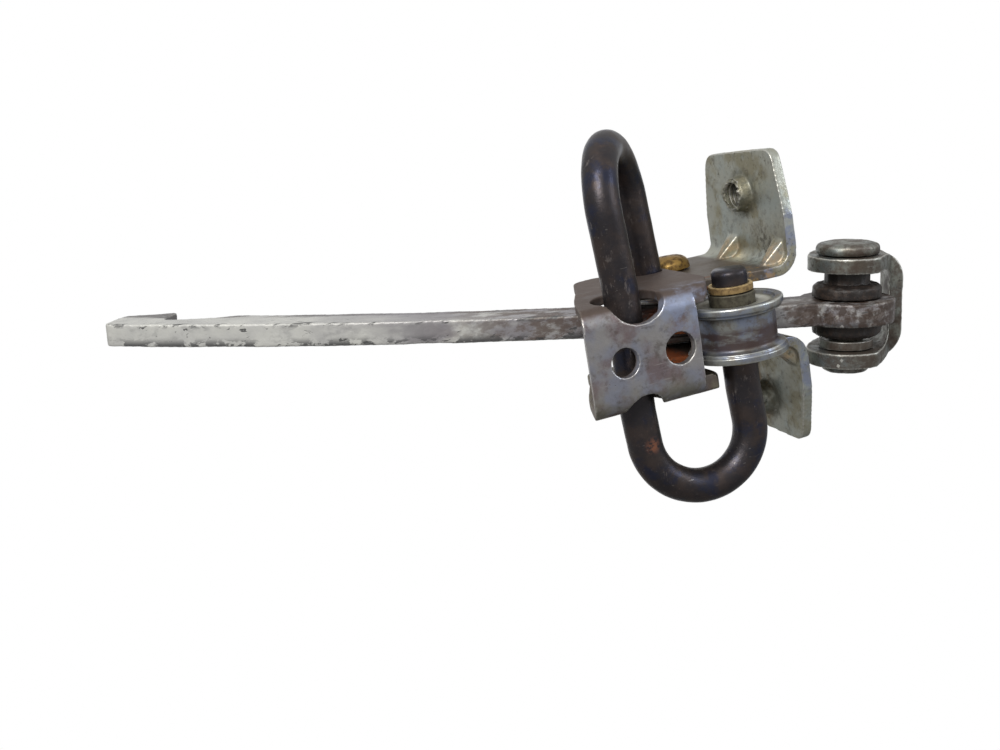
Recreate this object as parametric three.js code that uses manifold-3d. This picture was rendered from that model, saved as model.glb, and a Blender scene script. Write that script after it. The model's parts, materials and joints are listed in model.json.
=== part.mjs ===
// Automotive door check (door stop): a curved check arm that slides between two flanged rollers.
// A torsion rod presses the front roller against the arm, so the door is held where it stops.
// Millimetres, +Z up. The housing bolts to the door by two tabs whose outer faces lie on X = 0,
// with the two screw holes above and below the origin. The arm runs on to a clevis for the pillar.

import * as THREE from 'three';
import { mergeVertices } from 'three/addons/utils/BufferGeometryUtils.js';
import Module from 'manifold-3d';

const wasm = await Module();
wasm.setup();

// ---------------------------------------------------------------- driving dimensions
const GAP = 0.3;                                  // running or resting gap between two pieces
const SEGMENTS = 36;                              // steps round a full circle

const ROD_R = 4;                                  // torsion rod
const ROLLER = { bodyR: 9.2, flangeR: 11.3, halfHeight: 6.3, rim: 1.9, boreR: 5.6, recess: 0.8 };
const SLEEVE_R = 5.2;                             // bush that a roller turns on
const FRONT_SLEEVE_TOP = 8;                       // the front bush stands a little above its roller
const WASHER = { upperR: 5.05, upper: 1.6, lowerR: 6, lower: 1.1, thrustR: 8.6, thrust: 0.5 };
const RIVET = { headR: 5, headRise: 3.4, shankR: 3.4 };
const REAR_AXLE = { u: 1.8, v: 31.62 };           // rear roller axis, seen from the front roller axis
const TORSION_LEG = { u: -26, v: 2 };             // long middle leg of the rod
const ANCHOR_LEG = { u: -9, v: 24 };              // back leg of the rod, held in the top flange
const ROD_BOTTOM = -34.9;                         // lowest point of the rod's middle line
const ROD_TOP = 43.8;                             // highest point of the rod's middle line
const ROD_END_TOP = 13.3;                         // flat upper end of the roller's leg
const LOOP_LEAN = 0.07;                           // slope of both loops beyond the housing
const LOOP_START = 14;                            // height where that slope starts

const PLATE = 2.5;                                // bracket plate thickness
const PLATE_INNER = 7.3;                          // half the gap between the two bracket plates
const TAB = { innerU: 19.8, front: 6.5, back: 42.5, holeV: 23.5, holeW: 25.8, bendR: 3 };
const TAB_TOP = { front: 36.7, back: 34.9, lowerCut: 1.8 };     // the lower tab is a little shorter
const BOSS = { baseR: 4.6, rimR: 3.9, holeR: 3.2, height: 3.6 };
const DARTS = [10.2, 30.5];                       // where the pressed darts cross the bend

const CHANNEL = { thickness: 2.2, inner: 10.1, frontV: -6, left: -39.8, right: -12.2, bendR: 2 };
// The two round windows in the channel's web, and the notches that let the rod through its edges.
const WINDOWS = [{ u: -30.8, w: -0.4, r: 3.3 }, { u: -17.3, w: -0.2, r: 3.6 }];
const NOTCHES = [{ side: 1, u: -25.5, w: 14, r: 7 }, { side: -1, u: -26.7, w: 13.8, r: 5.3 }];

const ARM = { radius: 460, width: 12, thickness: 5.5, eyeR: 11.3, eyeBoreR: 5.4 };
const ARM_TILT = 7.5;                             // degrees that the loose arm droops in its grooves
const EYE_REACH = 35.5;                           // from the roller line to the eye, along the arm
const ARM_END = 178.5;                            // from the eye to the hooked tip, along the arm
const BARB = { length: 12, rise: 4.5, neck: 4.8, neckFlat: 4.5, neckRun: 15 };
const DETENT = { from: 92, length: 14, depth: 0.9 };

const CLEVIS = { inner: 9.5, plate: 3.6, reach: 14.6, endR: 9.3, bendR: 3 };
const CLEVIS_WEB = { front: 4, back: 18, notchV: 11.5, notchBottom: 1, notchTop: 8.6 };
const CLEVIS_HOLE = { v: 11, w: -4.5, r: 2.7 };   // screw hole through the web
const PIN_R = 4;
const PIN_HEAD = { upperR: 7.5, upperRise: 2.9, lowerR: 5.6, lowerRise: 1.9 };
const BUSHING = { wideR: 8.1, wide: 3.2, narrowR: 5.3, insertR: 5.1 };
const SPACER_R = 6.4;

const DOOR_FACE_U = TAB.innerU + PLATE;           // the tabs' outer faces
const rad = THREE.MathUtils.degToRad;

// ---------------------------------------------------------------- materials
function finish(color, roughness, metalness) {
  return new THREE.MeshStandardMaterial({ color, roughness, metalness });
}
const zinc = () => finish(0x9c9c98, 0.45, 0.8);
const passivated = () => finish(0x8f8d7c, 0.5, 0.75);
const blackSteel = () => finish(0x2e2b30, 0.4, 0.7);
const paintedSteel = () => finish(0xa5a6a4, 0.5, 0.6);
const darkBush = () => finish(0x25211e, 0.6, 0.3);
const tanMetal = () => finish(0xa48f66, 0.6, 0.5);

// ---------------------------------------------------------------- solids
function toSolid(geometry, matrix) {
  const bare = geometry.clone();
  bare.deleteAttribute('normal');
  bare.deleteAttribute('uv');
  const merged = mergeVertices(bare, 1e-4);
  if (matrix) merged.applyMatrix4(matrix);
  return new wasm.Manifold(new wasm.Mesh({
    numProp: 3,
    vertProperties: new Float32Array(merged.attributes.position.array),
    triVerts: new Uint32Array(merged.index.array),
  }));
}

function toGeometry(solid) {
  const mesh = solid.getMesh();
  const geometry = new THREE.BufferGeometry();
  geometry.setAttribute('position', new THREE.BufferAttribute(new Float32Array(mesh.vertProperties), 3));
  geometry.setIndex(new THREE.BufferAttribute(new Uint32Array(mesh.triVerts), 1));
  geometry.computeVertexNormals();
  return geometry;
}

const at = (x, y, z) => new THREE.Matrix4().makeTranslation(x, y, z);

// A shape drawn in X and Y, standing from z0 to z1.
function prism(shape, z0, z1, curveSegments = 10) {
  const options = { depth: z1 - z0, bevelEnabled: false, curveSegments };
  return toSolid(new THREE.ExtrudeGeometry(shape, options), at(0, 0, z0));
}

// The same, with the shape drawn in Y and Z and standing along X.
function prismX(shape, x0, x1, curveSegments = 10) {
  const options = { depth: x1 - x0, bevelEnabled: false, curveSegments };
  const turn = new THREE.Matrix4().set(0, 0, 1, x0, 1, 0, 0, 0, 0, 1, 0, 0, 0, 0, 0, 1);
  return toSolid(new THREE.ExtrudeGeometry(shape, options), turn);
}

// The same, with the shape drawn in X and Z and standing along Y.
function prismY(shape, y0, y1, curveSegments = 10) {
  const options = { depth: y1 - y0, bevelEnabled: false, curveSegments };
  const turn = new THREE.Matrix4().set(1, 0, 0, 0, 0, 0, -1, y1, 0, 1, 0, 0, 0, 0, 0, 1);
  return toSolid(new THREE.ExtrudeGeometry(shape, options), turn);
}

// A round solid about a vertical axis from [radius, z] corners that start and end on the axis.
function turned(profile, segments = SEGMENTS) {
  const points = profile.map(([r, z]) => new THREE.Vector2(r, z));
  const upright = new THREE.Matrix4().makeRotationX(Math.PI / 2);
  return toSolid(new THREE.LatheGeometry(points, segments), upright);
}

function disc(radius, z0, z1, segments = SEGMENTS) {
  return turned([[0, z0], [radius, z0], [radius, z1], [0, z1]], segments);
}

// A closed outline with every corner rounded: each corner is [x, y, radius].
function roundedOutline(corners) {
  const shape = new THREE.Shape();
  const count = corners.length;
  corners.forEach(([x, y, radius], i) => {
    const corner = new THREE.Vector2(x, y);
    const before = new THREE.Vector2(...corners[(i + count - 1) % count].slice(0, 2)).sub(corner);
    const after = new THREE.Vector2(...corners[(i + 1) % count].slice(0, 2)).sub(corner);
    const enter = before.clone().setLength(Math.min(radius, before.length() / 2)).add(corner);
    const leave = after.clone().setLength(Math.min(radius, after.length() / 2)).add(corner);
    if (i === 0) shape.moveTo(enter.x, enter.y);
    else shape.lineTo(enter.x, enter.y);
    if (radius > 0) shape.quadraticCurveTo(x, y, leave.x, leave.y);
  });
  shape.closePath();
  return shape;
}

function circleShape(x, y, radius) {
  return new THREE.Shape().absarc(x, y, radius, 0, 2 * Math.PI, false);
}

function named(name, solid, material) {
  const mesh = new THREE.Mesh(toGeometry(solid), material);
  mesh.name = name;
  return mesh;
}

// ---------------------------------------------------------------- torsion rod
// One round bar: down through the top flange, up and over, down behind the web, round a second
// hairpin below and up again as the front roller's axle.
function hairpin(path, from, to, turnZ, side) {
  const middle = from.clone().add(to).multiplyScalar(0.5);
  const across = from.clone().sub(middle);
  const steps = 12;
  for (let i = 0; i <= steps; i += 1) {
    const angle = Math.PI * i / steps;
    const point = middle.clone().addScaledVector(across, Math.cos(angle));
    point.z = turnZ + side * across.length() * Math.sin(angle);
    path.push(point);
  }
}

class StraightThrough extends THREE.Curve {
  constructor(points) {
    super();
    this.points = points;
  }

  getPoint(t, target = new THREE.Vector3()) {
    const last = this.points.length - 1;
    const i = Math.min(Math.floor(t * last + 1e-9), last - 1);
    return target.lerpVectors(this.points[i], this.points[i + 1], t * last - i);
  }

  getPointAt(t, target) {
    return this.getPoint(t, target);
  }

  getTangentAt(t, target = new THREE.Vector3()) {
    const last = this.points.length - 1;
    const i = Math.round(t * last);
    const from = this.points[Math.max(i - 1, 0)];
    const to = this.points[Math.min(i + 1, last)];
    return target.subVectors(to, from).normalize();
  }
}

function torsionRod() {
  const anchor = new THREE.Vector3(ANCHOR_LEG.u, ANCHOR_LEG.v, PLATE_INNER + GAP);
  const torsion = new THREE.Vector3(TORSION_LEG.u, TORSION_LEG.v, 0);
  const axle = new THREE.Vector3(0, 0, 0);
  const topTurn = ROD_TOP - anchor.clone().sub(torsion).setZ(0).length() / 2;
  const bottomTurn = ROD_BOTTOM + torsion.length() / 2;
  const path = [anchor, anchor.clone().setZ(LOOP_START)];
  hairpin(path, anchor.clone().setZ(0), torsion, topTurn, 1);
  path.push(torsion.clone().setZ(LOOP_START), torsion.clone().setZ(-LOOP_START));
  hairpin(path, torsion, axle, bottomTurn, -1);
  path.push(axle.clone().setZ(-LOOP_START), axle.clone().setZ(ROD_END_TOP));
  for (const point of path.slice(0, -1)) {
    const beyond = Math.max(Math.abs(point.z) - LOOP_START, 0) * Math.sign(point.z);
    point.x -= LOOP_LEAN * beyond;
  }
  const section = circleShape(0, 0, ROD_R);
  const options = { steps: path.length - 1, extrudePath: new StraightThrough(path), curveSegments: 8 };
  return toSolid(new THREE.ExtrudeGeometry(section, { ...options, bevelEnabled: false }));
}

// ---------------------------------------------------------------- rollers, bushes and rivet
function roller() {
  const { bodyR, flangeR, halfHeight, rim, boreR, recess } = ROLLER;
  const outer = [
    [0, -halfHeight], [flangeR - 0.5, -halfHeight], [flangeR, -halfHeight + 0.5],
    [flangeR, -halfHeight + rim - 0.4], [flangeR - 0.4, -halfHeight + rim], [bodyR, -halfHeight + rim + 0.2],
    [bodyR, halfHeight - rim - 0.2], [flangeR - 0.4, halfHeight - rim], [flangeR, halfHeight - rim + 0.4],
    [flangeR, halfHeight - 0.5], [flangeR - 0.5, halfHeight], [0, halfHeight],
  ];
  const dish = disc(bodyR, halfHeight - recess, halfHeight + 1);
  const bore = disc(boreR, -halfHeight - 1, halfHeight + 1);
  return turned(outer).subtract(dish).subtract(bore);
}

function sleeve(outerR, boreR, z0, z1) {
  return disc(outerR, z0, z1).subtract(disc(boreR, z0 - 1, z1 + 1));
}

function axleRivet() {
  const { headR, headRise, shankR } = RIVET;
  const seat = PLATE_INNER + PLATE + GAP;
  const top = seat + headRise;
  return turned([
    [0, -top], [headR * 0.55, -top + 0.3], [headR * 0.9, -top + headRise / 2], [headR, -seat],
    [shankR, -seat], [shankR, seat],
    [headR, seat], [headR * 0.9, top - headRise / 2], [headR * 0.55, top - 0.3], [0, top],
  ]);
}

// ---------------------------------------------------------------- brackets to the door
// The upper one: a flat plate held by the rear axle, a tab bent up at the door, and a tapped boss.
function bracket(holdsRod, tabCut) {
  const { innerU, front, back, holeV, holeW, bendR } = TAB;
  const top = TAB_TOP.front - tabCut;
  const backTop = TAB_TOP.back - tabCut;
  const plateTop = PLATE_INNER + PLATE;
  const outerU = innerU + PLATE;
  const bend = new THREE.Shape();
  bend.moveTo(-20, PLATE_INNER);
  bend.lineTo(outerU - bendR - PLATE, PLATE_INNER);
  bend.absarc(outerU - bendR - PLATE, plateTop + bendR, bendR + PLATE, -Math.PI / 2, 0, false);
  bend.lineTo(outerU, top);
  bend.lineTo(innerU, top);
  bend.lineTo(innerU, plateTop + bendR);
  bend.absarc(innerU - bendR, plateTop + bendR, bendR, 0, -Math.PI / 2, true);
  bend.lineTo(-20, plateTop);
  bend.closePath();
  const strip = prismY(bend, front, back, 8);

  const plan = roundedOutline([
    [-16.5, 17, 3], [-6, 12, 3], [6, 9.5, 3], [12, front, 2], [outerU + 1, front, 0], [outerU + 1, back, 0],
    [11, back, 4], [-4, back - 1.5, 6], [-16.5, 33, 6],
  ]);
  const face = roundedOutline([
    [front - 1, PLATE_INNER - 1, 0], [back + 1, PLATE_INNER - 1, 0], [back + 1, plateTop + 4, 0],
    [back - 2.5, backTop, 4], [front + 3, top, 3.5], [front, plateTop + 12, 4], [front - 1, plateTop + 4, 0],
  ]);
  const cutPlan = prism(plan, PLATE_INNER - 1, top + 1);
  const blank = strip.intersect(cutPlan).intersect(prismX(face, -20, outerU + 1));

  const root = 0.5;
  const cone = turned([[0, 0], [BOSS.baseR, 0], [BOSS.baseR, root], [BOSS.rimR, root + BOSS.height],
    [0, root + BOSS.height]]);
  const boss = cone.rotate([0, -90, 0]).translate([innerU + root, holeV, holeW]);
  const tapping = prismX(circleShape(holeV, holeW, BOSS.holeR), innerU - BOSS.height - 1, outerU + 1, 14);
  const rivetHole = disc(RIVET.shankR + GAP, 0, top).translate([REAR_AXLE.u, REAR_AXLE.v, 0]);
  const anchorHole = disc(ROD_R + GAP, 0, top).translate([ANCHOR_LEG.u, ANCHOR_LEG.v, 0]);
  let solid = blank.add(boss).subtract(tapping).subtract(rivetHole);
  if (holdsRod) solid = solid.subtract(anchorHole);
  for (const v of DARTS) solid = solid.add(gusset(v));
  return solid;
}

// A pressed dart across the inside of a bend, which stiffens the tab.
function gusset(v) {
  const corner = TAB.innerU + 0.3;
  const floor = PLATE_INNER + PLATE - 0.3;
  const size = TAB.bendR + 3.2;
  const side = new THREE.Shape();
  side.moveTo(corner, floor);
  side.lineTo(corner, floor + size);
  side.lineTo(corner - size, floor);
  side.closePath();
  const half = 2.5;
  const ridge = prismY(side, v - half, v + half);
  const wedge = new THREE.Shape();
  wedge.moveTo(corner + 0.5, v - half);
  wedge.lineTo(corner + 0.5, v + half);
  wedge.lineTo(corner - size - 0.5, v + 0.4);
  wedge.lineTo(corner - size - 0.5, v - 0.4);
  wedge.closePath();
  return ridge.intersect(prism(wedge, floor - 1, floor + size + 1));
}

// ---------------------------------------------------------------- channel in front
// A U of plate: the web with its two round windows, and two flanges bent back over the brackets.
function channel() {
  const { thickness, inner, frontV, left, right, bendR } = CHANNEL;
  const outer = inner + thickness;
  const backV = 34;
  const bendV = frontV + thickness + bendR;
  const bendW = inner - bendR;
  const section = new THREE.Shape();
  section.moveTo(backV, outer);
  section.lineTo(bendV, outer);
  section.absarc(bendV, bendW, bendR + thickness, Math.PI / 2, Math.PI, false);
  section.lineTo(frontV, -bendW);
  section.absarc(bendV, -bendW, bendR + thickness, Math.PI, 1.5 * Math.PI, false);
  section.lineTo(backV, -outer);
  section.lineTo(backV, -inner);
  section.lineTo(bendV, -inner);
  section.absarc(bendV, -bendW, bendR, 1.5 * Math.PI, Math.PI, true);
  section.lineTo(frontV + thickness, bendW);
  section.absarc(bendV, bendW, bendR, Math.PI, Math.PI / 2, true);
  section.lineTo(backV, inner);
  section.closePath();
  const blank = prismX(section, left, -3.6, 8);

  const plan = roundedOutline([
    [left, frontV - 1, 0], [right, frontV - 1, 0], [right, frontV + 1.5, 0.5], [-8, frontV + 2.2, 1],
    [-4.4, 3, 2], [-4.4, 29, 5], [-16, 28.5, 3], [-18.5, 31, 2.5], [-25, 31, 4], [-28, 22, 4],
    [-35, 8, 5],
  ]);
  const besideRoller = roundedOutline([[right, -bendW, 0], [0, -bendW, 0], [0, bendW, 0], [right, bendW, 0]]);
  const relief = prismY(besideRoller, frontV - 1, bendV);
  let solid = blank.intersect(prism(plan, -outer - 1, outer + 1)).subtract(relief);

  for (const { u, w, r } of WINDOWS) {
    solid = solid.subtract(prismY(circleShape(u, w, r), frontV - 1, frontV + thickness + 1, 12));
  }
  for (const { side, u, w, r } of NOTCHES) {
    const across = disc(r + GAP, -4, 4).translate([TORSION_LEG.u, TORSION_LEG.v - 1, side * outer]);
    const down = prismY(circleShape(u, side * w, r), frontV - 1, TORSION_LEG.v - 1, 12);
    solid = solid.subtract(across).subtract(down);
  }
  return solid.subtract(disc(ROD_R + GAP, 0, outer + 1).translate([ANCHOR_LEG.u, ANCHOR_LEG.v, 0]));
}

// ---------------------------------------------------------------- check arm
// Seen from above with the eye at the origin: the arm is an arc about a point behind it.
const ARC_CENTRE = (() => {
  const apex = 88;
  return new THREE.Vector2(-apex, Math.sqrt(ARM.radius ** 2 - apex ** 2));
})();

// A point beside the arm's middle line: distance from the eye, and offset (+ is the hollow side).
function beside(distance, offset) {
  const start = Math.atan2(-ARC_CENTRE.x, ARC_CENTRE.y);
  const angle = start - distance / ARM.radius;
  const reach = ARM.radius - offset;
  return new THREE.Vector2(ARC_CENTRE.x + reach * Math.sin(angle), ARC_CENTRE.y - reach * Math.cos(angle));
}

function checkArm() {
  const half = ARM.width / 2;
  const tipR = 2;
  const outline = [];
  const along = (from, to, offset, steps) => {
    for (let i = 0; i <= steps; i += 1) outline.push(beside(from + (to - from) * i / steps, offset));
  };
  const corner = (distance, offset, radius, fromAngle, toAngle) => {
    for (let i = 0; i <= 5; i += 1) {
      const angle = rad(fromAngle + (toAngle - fromAngle) * i / 5);
      outline.push(beside(distance + radius * Math.cos(angle), offset + radius * Math.sin(angle)));
    }
  };
  const detentEnd = DETENT.from + DETENT.length;
  const heel = ARM_END - BARB.length;
  const neckEnd = heel - BARB.neckFlat;
  const neckStart = neckEnd - BARB.neckRun;

  along(4, DETENT.from, -half, 14);
  for (let i = 1; i < 6; i += 1) {
    const dip = DETENT.depth * Math.sin(Math.PI * i / 6) ** 2;
    outline.push(beside(DETENT.from + DETENT.length * i / 6, -half + dip));
  }
  along(detentEnd, ARM_END - tipR, -half, 12);
  corner(ARM_END - tipR, -half + tipR, tipR, -80, 0);
  corner(ARM_END - tipR, half - tipR, tipR, 0, 60);
  outline.push(beside(heel + 1, half + BARB.rise));
  outline.push(beside(heel, half + BARB.rise - 1));
  outline.push(beside(heel, half - BARB.neck + 1));
  outline.push(beside(heel - 1, half - BARB.neck));
  for (let i = 0; i < 6; i += 1) {
    const sink = BARB.neck * (1 + Math.cos(Math.PI * i / 6)) / 2;
    outline.push(beside(neckEnd - BARB.neckRun * i / 6, half - sink));
  }
  along(neckStart, 4, half, 18);

  const bar = prism(new THREE.Shape(outline), -ARM.thickness / 2, ARM.thickness / 2);
  const eye = disc(ARM.eyeR, -ARM.thickness / 2, ARM.thickness / 2, 44);
  const bore = disc(ARM.eyeBoreR, -ARM.thickness, ARM.thickness);
  return bar.add(eye).subtract(bore);
}

// ---------------------------------------------------------------- clevis, pin and bushings
function clevis() {
  const { inner, plate, reach, endR, bendR } = CLEVIS;
  const { front, back, notchV, notchBottom, notchTop } = CLEVIS_WEB;
  const outer = inner + plate;
  const bendX = reach - plate - bendR;
  const section = new THREE.Shape();
  section.moveTo(-endR - 1, inner);
  section.lineTo(bendX, inner);
  section.absarc(bendX, inner - bendR, bendR, Math.PI / 2, 0, true);
  section.lineTo(reach - plate, -inner + bendR);
  section.absarc(bendX, -inner + bendR, bendR, 0, -Math.PI / 2, true);
  section.lineTo(-endR - 1, -inner);
  section.lineTo(-endR - 1, -outer);
  section.lineTo(bendX, -outer);
  section.absarc(bendX, -inner + bendR, bendR + plate, -Math.PI / 2, 0, false);
  section.lineTo(reach, inner - bendR);
  section.absarc(bendX, inner - bendR, bendR + plate, 0, Math.PI / 2, false);
  section.lineTo(-endR - 1, outer);
  section.closePath();
  const blank = prismY(section, -endR - 1, back, 8);

  const plan = new THREE.Shape();
  plan.moveTo(endR * Math.cos(rad(50)), -endR * Math.sin(rad(50)));
  plan.lineTo(reach - 3, front);
  plan.lineTo(reach + 1, front);
  plan.lineTo(reach + 1, back - 3);
  plan.lineTo(reach - 3, back + 1);
  plan.lineTo(reach - 9, back + 1);
  plan.quadraticCurveTo(-5, back - 2, -endR * Math.cos(rad(20)), endR * Math.sin(rad(20)));
  plan.absarc(0, 0, endR, rad(160), rad(310), false);
  plan.closePath();
  const pinHole = disc(PIN_R + GAP, -outer - 1, outer + 1);
  const hole = circleShape(CLEVIS_HOLE.v, CLEVIS_HOLE.w, CLEVIS_HOLE.r);
  const screwHole = prismX(hole, reach - plate - 1, reach + 1, 12);
  const cut = roundedOutline([
    [notchV, notchBottom, 2], [back + 2, notchBottom, 0], [back + 2, notchTop, 0], [notchV, notchTop, 2],
  ]);
  const notch = prismX(cut, reach - plate - 1, reach + 1);
  const blade = blank.intersect(prism(plan, -outer - 1, outer + 1, 12));
  return blade.subtract(pinHole).subtract(screwHole).subtract(notch);
}

function pivotPin() {
  const { upperR, upperRise, lowerR, lowerRise } = PIN_HEAD;
  const seat = CLEVIS.inner + CLEVIS.plate + GAP;
  const top = seat + upperRise;
  const bottom = -seat - lowerRise;
  return turned([
    [0, bottom], [lowerR - 1, bottom + 0.2], [lowerR, bottom + 1], [lowerR, -seat], [PIN_R, -seat],
    [PIN_R, seat], [upperR - 0.6, seat], [upperR, seat + 0.7], [upperR, seat + 1.5],
    [upperR * 0.93, top - 0.6], [upperR * 0.75, top - 0.1], [0, top],
  ]);
}

// Each bushing has a short insert in the eye and a wide flange; only the upper one has a long nose.
function bushing(end) {
  const { wideR, wide, narrowR, insertR } = BUSHING;
  const start = ARM.thickness / 2 + GAP;
  const shoulder = start + wide;
  const profile = [
    [0, GAP / 2], [insertR, GAP / 2], [insertR, start], [wideR, start], [wideR, shoulder - 0.8],
    [wideR - 1, shoulder], [narrowR, shoulder], [narrowR, end], [0, end],
  ];
  return turned(profile).subtract(disc(PIN_R + GAP, -1, end + 1));
}

// ---------------------------------------------------------------- assembly
const doorCheck = new THREE.Group();
doorCheck.name = 'door_check';

const housing = new THREE.Group();
housing.position.set(-DOOR_FACE_U, -TAB.holeV, 0);
doorCheck.add(housing);

housing.add(named('front_channel', channel(), zinc()));
housing.add(named('upper_bracket', bracket(true, 0), passivated()));
housing.add(named('lower_bracket', bracket(false, TAB_TOP.lowerCut).mirror([0, 0, 1]), passivated()));
housing.add(named('torsion_rod', torsionRod(), blackSteel()));

const frontBore = ROD_R + GAP;
const upperSeat = FRONT_SLEEVE_TOP + GAP;
const lowerSeat = -ROLLER.halfHeight - GAP;
const frontSleeve = sleeve(SLEEVE_R, frontBore, -ROLLER.halfHeight, FRONT_SLEEVE_TOP);
const upperWasher = sleeve(WASHER.upperR, frontBore, upperSeat, upperSeat + WASHER.upper);
const lowerWasher = sleeve(WASHER.lowerR, frontBore, lowerSeat - WASHER.lower, lowerSeat);
housing.add(named('front_roller', roller(), zinc()));
housing.add(named('front_roller_bush', frontSleeve, darkBush()));
housing.add(named('front_retaining_washer', upperWasher, tanMetal()));
housing.add(named('front_lower_washer', lowerWasher, tanMetal()));

const rearGroup = new THREE.Group();
rearGroup.position.set(REAR_AXLE.u, REAR_AXLE.v, 0);
housing.add(rearGroup);
const rearSleeve = sleeve(SLEEVE_R, RIVET.shankR + GAP, -PLATE_INNER + GAP, PLATE_INNER - GAP);
const thrustSeat = (ROLLER.halfHeight + PLATE_INNER - WASHER.thrust) / 2;
const thrustWasher = sleeve(WASHER.thrustR, SLEEVE_R + GAP, thrustSeat, thrustSeat + WASHER.thrust);
rearGroup.add(named('rear_roller', roller(), zinc()));
rearGroup.add(named('rear_roller_bush', rearSleeve, darkBush()));
rearGroup.add(named('rear_axle_rivet', axleRivet(), passivated()));
rearGroup.add(named('rear_upper_washer', thrustWasher, zinc()));
rearGroup.add(named('rear_lower_washer', thrustWasher.mirror([0, 0, 1]), zinc()));

// The arm's arc centre stands where the arc just clears both rollers.
const toCentre = (() => {
  const half = ARM.width / 2 + GAP + ROLLER.bodyR;
  const nearSide = ARM.radius + half;
  const farSide = ARM.radius - half;
  const spread = Math.hypot(REAR_AXLE.u, REAR_AXLE.v);
  const turn = Math.acos((nearSide ** 2 + spread ** 2 - farSide ** 2) / (2 * nearSide * spread));
  const heading = Math.atan2(REAR_AXLE.v, REAR_AXLE.u) - turn;
  return new THREE.Vector2(Math.cos(heading), Math.sin(heading)).multiplyScalar(nearSide);
})();

const arcPivot = new THREE.Group();
arcPivot.position.set(toCentre.x, toCentre.y, 0);
const fromFront = Math.atan2(toCentre.y, toCentre.x);
const fromRear = Math.atan2(toCentre.y - REAR_AXLE.v, toCentre.x - REAR_AXLE.u);
const crossing = (fromFront + fromRear) / 2;      // midway between the two places where rollers touch
const eyeStart = Math.atan2(-ARC_CENTRE.x, ARC_CENTRE.y) - EYE_REACH / ARM.radius;
housing.add(arcPivot);

const tilted = new THREE.Group();
const droopAxis = new THREE.Vector3(Math.cos(crossing), Math.sin(crossing), 0);
const upward = new THREE.Vector3(0, 0, 1);
const yaw = new THREE.Quaternion().setFromAxisAngle(upward, crossing - Math.PI / 2 - eyeStart);
tilted.quaternion.setFromAxisAngle(droopAxis, rad(ARM_TILT)).multiply(yaw);
arcPivot.add(tilted);

const eye = new THREE.Group();
eye.position.set(-ARC_CENTRE.x, -ARC_CENTRE.y, 0);
tilted.add(eye);

eye.add(named('check_arm', checkArm(), paintedSteel()));
eye.add(named('clevis_bracket', clevis(), zinc()));
eye.add(named('pivot_pin', pivotPin(), zinc()));
const bushingNose = ARM.thickness / 2 + BUSHING.wide + 2 * GAP;
const spacer = sleeve(SPACER_R, PIN_R + GAP, GAP - CLEVIS.inner, -bushingNose - 2 * GAP);
eye.add(named('upper_bushing', bushing(CLEVIS.inner - GAP), darkBush()));
eye.add(named('lower_bushing', bushing(bushingNose).mirror([0, 0, 1]), darkBush()));
eye.add(named('lower_spacer', spacer, zinc()));

export default doorCheck;
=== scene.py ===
"""Looks of an automotive door check: worn zinc plates, a blackened torsion rod, a painted arm."""

import json
import math

import bpy
from mathutils import Matrix, Vector, noise


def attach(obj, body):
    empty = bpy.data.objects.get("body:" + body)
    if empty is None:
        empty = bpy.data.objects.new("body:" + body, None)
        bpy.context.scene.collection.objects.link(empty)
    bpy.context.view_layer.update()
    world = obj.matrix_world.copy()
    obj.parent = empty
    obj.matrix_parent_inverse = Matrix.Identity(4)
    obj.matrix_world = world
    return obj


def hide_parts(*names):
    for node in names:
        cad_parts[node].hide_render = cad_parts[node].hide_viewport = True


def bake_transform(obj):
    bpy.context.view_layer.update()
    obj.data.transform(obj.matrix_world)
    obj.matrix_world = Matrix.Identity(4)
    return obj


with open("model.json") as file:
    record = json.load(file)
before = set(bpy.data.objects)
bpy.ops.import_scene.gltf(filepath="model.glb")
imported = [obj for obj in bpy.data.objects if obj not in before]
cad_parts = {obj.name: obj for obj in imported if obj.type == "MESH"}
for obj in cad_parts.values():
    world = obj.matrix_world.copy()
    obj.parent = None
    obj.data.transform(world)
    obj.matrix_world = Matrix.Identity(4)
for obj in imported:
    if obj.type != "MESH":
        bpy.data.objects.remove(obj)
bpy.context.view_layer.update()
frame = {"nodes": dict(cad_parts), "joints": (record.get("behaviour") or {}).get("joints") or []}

MM = 0.001
JOINTS = {joint["name"]: joint for joint in frame["joints"]}
UP = Vector((0, 0, 1))
FRONT_AXIS = Vector(JOINTS["front_roller_spin"]["pos_m"])
REAR_AXIS = Vector(JOINTS["rear_roller_spin"]["pos_m"])
TORSION_LEG = Vector(JOINTS["spring_flex"]["pos_m"])
ARC_CENTRE = Vector(JOINTS["arm_slide"]["pos_m"])
EYE = Vector(JOINTS["clevis_pivot"]["pos_m"])
EYE_UP = Vector(JOINTS["clevis_pivot"]["axis"]).normalized()
CAMERA_PLACE = (-0.16543, -0.27667, 0.06583)
HEADING, PITCH, ROLL = 18.72, -13.35, 9.68        # which way the camera looks, in degrees
VIEW = Vector((0, 1, 0))
VIEW.rotate(Matrix.Rotation(math.radians(PITCH), 3, "X"))
VIEW.rotate(Matrix.Rotation(math.radians(-HEADING), 3, "Z"))
BOSS_REACH = Vector((-6.1, 0, 25.8)) * MM         # rim of the upper tapped boss
DARTS = (-13.3, 7.0)                              # the pressed darts across each bracket's bend, along Y


# ---------------------------------------------------------------- stage, light and camera
def soft_light(name, place, target, power, size, colour):
    lamp = bpy.data.lights.new(name, "AREA")
    lamp.energy = power
    lamp.size = size
    lamp.color = colour
    holder = bpy.data.objects.new(name, lamp)
    holder.location = place
    holder.rotation_euler = (Vector(target) - Vector(place)).to_track_quat("-Z", "Y").to_euler()
    bpy.context.scene.collection.objects.link(holder)


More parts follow.
